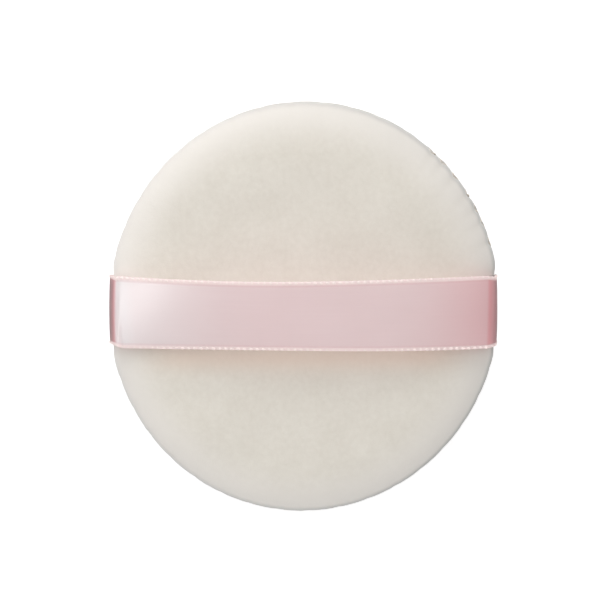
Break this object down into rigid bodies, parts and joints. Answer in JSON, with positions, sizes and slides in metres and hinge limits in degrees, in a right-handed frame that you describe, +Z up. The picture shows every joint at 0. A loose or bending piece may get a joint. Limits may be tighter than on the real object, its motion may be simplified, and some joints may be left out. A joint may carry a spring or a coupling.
{
  "type": "powder puff",
  "caption": "Round velour powder puff with a foam core and an arched satin ribbon sewn in at the rim, for applying face powder by hand.",
  "frame": {"origin": "middle of the powder face, on the surface that the puff lies on", "axes": "+X along the ribbon, +Y square to it in the pad's plane, +Z up out of the powder face towards the ribbon"},
  "size_m": [0.0536, 0.0562, 0.0182],
  "materials": {
    "velour": "short upright pile, ivory",
    "foam": "open-cell polyurethane foam, pale cream",
    "satin_ribbon": "satin weave, pale pink, with woven selvedges",
    "sewing_thread": "spun polyester thread, ivory"
  },
  "bodies": {
    "pad": {"powder_face_cover": "velour", "ribbon_side_cover": "velour", "foam_core": "foam", "seam_needle_thread": "sewing_thread", "seam_bobbin_thread": "sewing_thread", "closing_thread": "sewing_thread", "left_ribbon_tail": "satin_ribbon", "right_ribbon_tail": "satin_ribbon", "left_tack_stitches": "sewing_thread", "right_tack_stitches": "sewing_thread"},
    "ribbon": {"ribbon_band": "satin_ribbon"}
  },
  "joints": [
    {"name": "ribbon_lift", "type": "slide", "parent": "pad", "child": "ribbon", "axis": [0, 0, 1], "range_m": [0, 0.006], "stiffness_N_per_m": 10}
  ]
}
